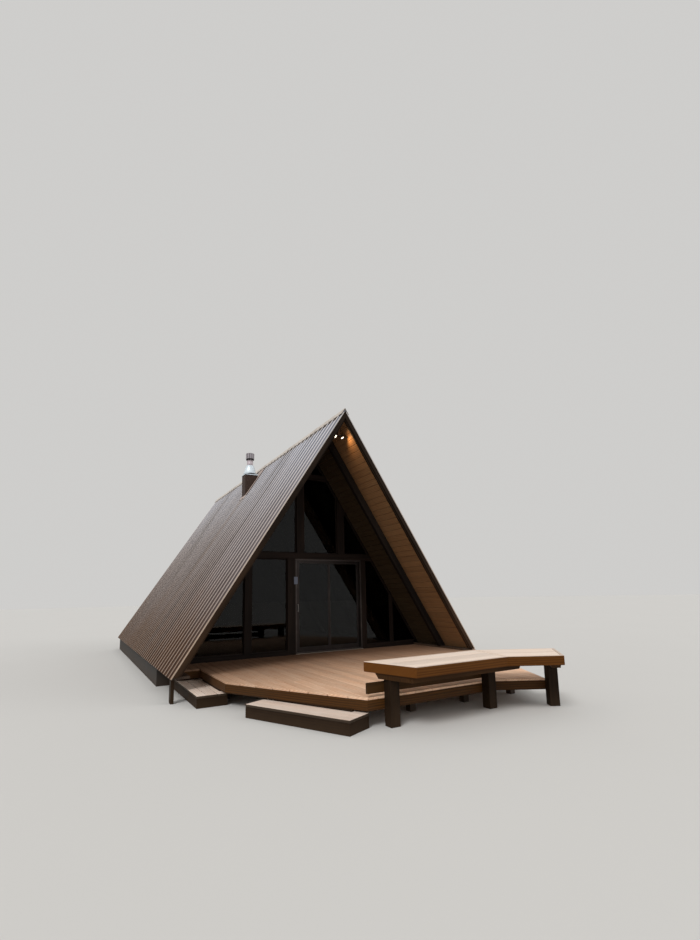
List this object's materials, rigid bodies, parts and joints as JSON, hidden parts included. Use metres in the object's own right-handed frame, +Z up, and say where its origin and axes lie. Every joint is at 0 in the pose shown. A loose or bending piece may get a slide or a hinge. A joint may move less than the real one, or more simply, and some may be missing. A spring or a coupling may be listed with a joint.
{
  "type": "a-frame cabin",
  "caption": "Steep A-frame cabin with a ribbed metal roof down to its sills, a glazed front wall with a sliding patio door, and a timber deck with steps and a bench.",
  "frame": {"origin": "on the level ground, under the middle of the glazed front wall and straight below the ridge", "axes": "+X to the right as seen from the front, +Y from the front towards the back along the ridge, +Z up"},
  "size_m": [7.0624, 13.895, 5.71],
  "materials": {
    "roof_metal": "weathered satin",
    "ridge_metal": "weathered satin",
    "flue_steel": "dull",
    "dark_timber": "stained, satin",
    "roof_deck": "rough",
    "lining_timber": "oiled",
    "deck_timber": "weathered",
    "fascia_timber": "weathered",
    "bench_timber": "weathered",
    "under_timber": "rough",
    "floor_timber": "satin",
    "foundation": "rough",
    "glazing": "clear",
    "door_metal": "anodised",
    "handle_metal": "satin",
    "lamp_metal": "gloss",
    "notice_plastic": "matt white"
  },
  "bodies": {
    "cabin": {"bench_bearers": "under_timber", "bench_posts": "bench_timber", "bench_rail": "fascia_timber", "bench_top": "bench_timber", "bench_wing_top": "bench_timber", "chimney_cap": "flue_steel", "chimney_chase": "roof_metal", "chimney_cone": "flue_steel", "deck_boards": "deck_timber", "deck_fascia": "fascia_timber", "deck_joists": "under_timber", "deck_piers": "under_timber", "door_frame": "door_metal", "facade_beam": "dark_timber", "fixed_door_frame": "door_metal", "fixed_door_glass": "glazing", "floor": "floor_timber", "foundation_ends": "foundation", "foundation_sides": "foundation", "front_left_barge_board": "dark_timber", "front_right_barge_board": "dark_timber", "front_step": "bench_timber", "left_cladding": "roof_metal", "left_lining": "lining_timber", "left_rafters": "dark_timber", "left_rake_frame": "dark_timber", "left_roof_core": "roof_deck", "lower_panes": "glazing", "lower_posts": "dark_timber", "notice_plate": "notice_plastic", "porch_post": "under_timber", "rear_left_barge_board": "dark_timber", "rear_right_barge_board": "dark_timber", "rear_wall": "dark_timber", "ridge_cap": "ridge_metal", "right_cladding": "roof_metal", "right_lining": "lining_timber", "right_rafters": "dark_timber", "right_rake_frame": "dark_timber", "right_roof_core": "roof_deck", "side_step": "bench_timber", "sill_plates": "under_timber", "twin_lamp": "lamp_metal", "upper_bar": "dark_timber", "upper_mullions": "dark_timber", "upper_panes": "glazing", "window_sills": "dark_timber"},
    "sliding_door": {"sliding_door_frame": "door_metal", "sliding_door_glass": "glazing", "sliding_door_handle": "handle_metal"}
  },
  "joints": [
    {"name": "sliding_door_slide", "type": "slide", "parent": "cabin", "child": "sliding_door", "axis": [1, 0, 0], "range_m": [0, 0.79]}
  ]
}
